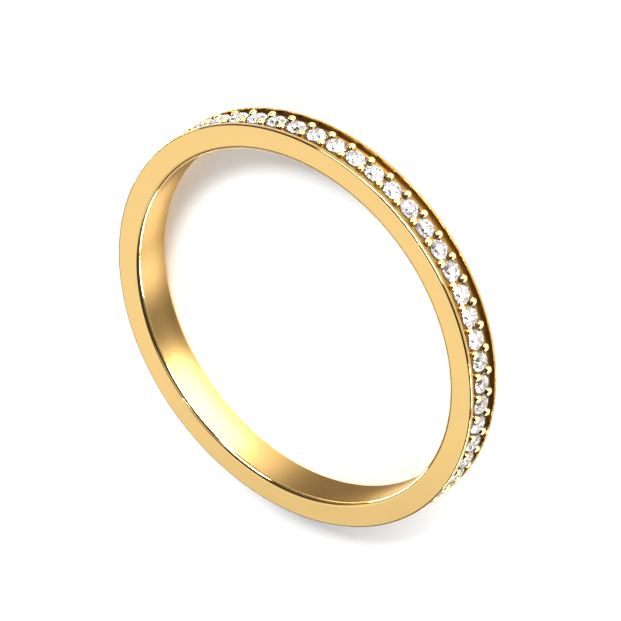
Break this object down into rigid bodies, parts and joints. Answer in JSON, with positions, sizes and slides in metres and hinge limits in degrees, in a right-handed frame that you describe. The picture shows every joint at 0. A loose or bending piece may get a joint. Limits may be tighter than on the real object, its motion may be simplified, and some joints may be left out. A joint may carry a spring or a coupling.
{
  "type": "eternity ring",
  "caption": "Slim flat-sided gold finger ring with round brilliants bead-set in a channel between two thin rails all the way round the outside of the band.",
  "frame": {"origin": "centre of the finger hole, on the surface that the ring lies on", "axes": "+Z along the axis of the finger hole, up when the ring lies on its side; +X through the centre of one stone"},
  "size_m": [0.0204, 0.0204, 0.002],
  "materials": {
    "gold": "polished yellow gold, mirror bright",
    "stones": "clear brilliant-cut diamond, polished flat facets"
  },
  "bodies": {
    "root": {"band": "gold", "stones": "stones"}
  },
  "joints": []
}
